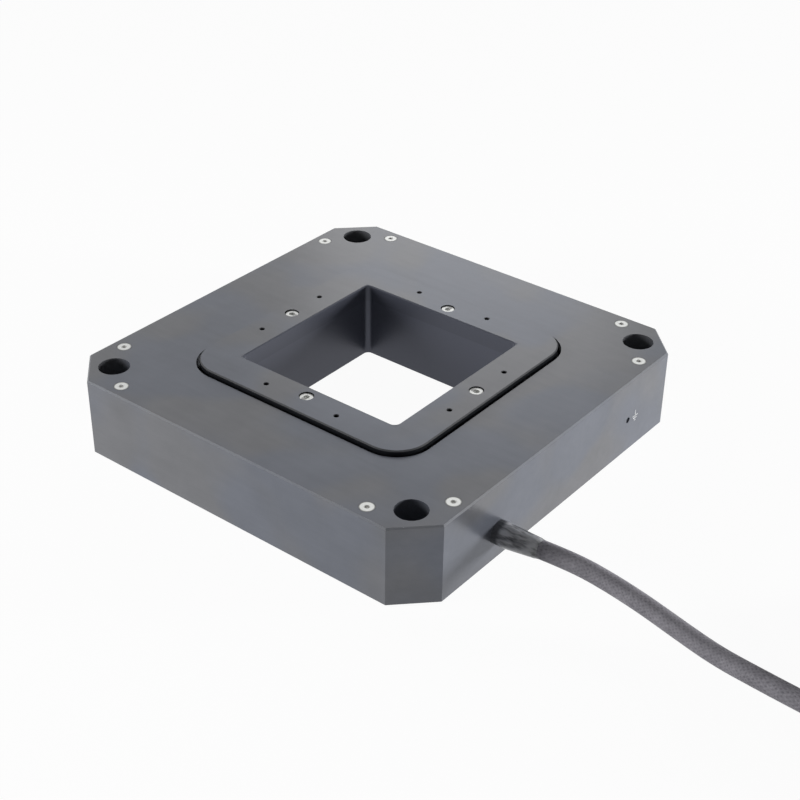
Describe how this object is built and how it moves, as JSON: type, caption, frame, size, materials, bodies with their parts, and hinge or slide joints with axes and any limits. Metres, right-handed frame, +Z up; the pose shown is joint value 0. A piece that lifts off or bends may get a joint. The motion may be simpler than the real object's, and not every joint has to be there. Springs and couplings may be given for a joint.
{
  "type": "piezo nanopositioning stage",
  "caption": "Low square stage with a clear square aperture, moved in X, Y and Z by piezo drives and bending hinges, with a cable to a flat connector.",
  "frame": {"origin": "centre of the body's bottom face, which lies on the table or breadboard", "axes": "+Z up out of the platform, +X towards the side that the cable leaves by, +Y along that side"},
  "size_m": [0.3505, 0.168, 0.03],
  "materials": {
    "dark_anodised": "satin dark grey anodised",
    "bare_aluminium": "fine machined",
    "bright_steel": "bright stainless",
    "spring_steel": "rolled sheet",
    "piezo_ceramic": "ground",
    "cap_ceramic": "polished",
    "board_green": "solder mask",
    "lead_red": "insulated wire",
    "boot_black": "shrunk sleeve",
    "cable_grey": "dark braided sleeve",
    "hood_grey": "moulded",
    "plated_shell": "tin plated",
    "contact_block": "moulded"
  },
  "bodies": {
    "root": {"body_frame": "dark_anodised", "bottom_cover": "dark_anodised", "bottom_cover_screws": "bright_steel", "cable": "cable_grey", "cable_boot": "boot_black", "cable_clamp": "bare_aluminium", "cable_clamp_screws": "bright_steel", "cable_coil": "cable_grey", "cable_leads": "lead_red", "cable_tail": "cable_grey", "coil_tie": "contact_block", "connector_hood": "hood_grey", "connector_hood_screws": "bright_steel", "connector_insert": "contact_block", "connector_jackscrews": "bright_steel", "connector_shell": "plated_shell", "terminal_board": "board_green", "top_cover": "dark_anodised", "top_cover_screws": "bright_steel", "x_drive_frame": "spring_steel", "x_drive_leads": "lead_red", "x_hinge_links": "spring_steel", "x_piezo_stack": "piezo_ceramic", "x_preload_screw": "bright_steel", "x_sensor_probe": "bare_aluminium", "x_stack_end_caps": "cap_ceramic"},
    "x_stage": {"x_frame": "bare_aluminium", "y_hinge_links": "spring_steel", "y_drive_frame": "spring_steel", "y_piezo_stack": "piezo_ceramic", "y_stack_end_caps": "cap_ceramic", "y_preload_screw": "bright_steel", "y_sensor_probe": "bare_aluminium", "x_sensor_target": "bare_aluminium"},
    "y_stage": {"y_frame": "bare_aluminium", "z_guide_leaves": "spring_steel", "frame_leaf_clamps": "bright_steel", "frame_clamp_screws": "bright_steel", "z_drive_frame": "spring_steel", "z_piezo_stack": "piezo_ceramic", "z_stack_end_caps": "cap_ceramic", "z_preload_screw": "bright_steel", "z_sensor_probe": "bare_aluminium", "y_sensor_target": "bare_aluminium"},
    "platform": {"platform_plate": "dark_anodised", "platform_sleeve": "dark_anodised", "platform_screws": "bright_steel", "sleeve_leaf_clamps": "bright_steel", "sleeve_clamp_screws": "bright_steel", "z_sensor_target": "bare_aluminium"}
  },
  "joints": [
    {"name": "move_x", "type": "slide", "parent": "root", "child": "x_stage", "axis": [1, 0, 0], "range_m": [0, 0.0003], "stiffness_N_per_m": 200000, "deforming": ["x_hinge_links", "x_drive_frame"]},
    {"name": "move_y", "type": "slide", "parent": "x_stage", "child": "y_stage", "axis": [0, 1, 0], "range_m": [0, 0.0003], "stiffness_N_per_m": 200000, "deforming": ["y_hinge_links", "y_drive_frame"]},
    {"name": "move_z", "type": "slide", "parent": "y_stage", "child": "platform", "axis": [0, 0, 1], "range_m": [0, 0.0003], "stiffness_N_per_m": 300000, "deforming": ["z_guide_leaves", "z_drive_frame"]}
  ]
}
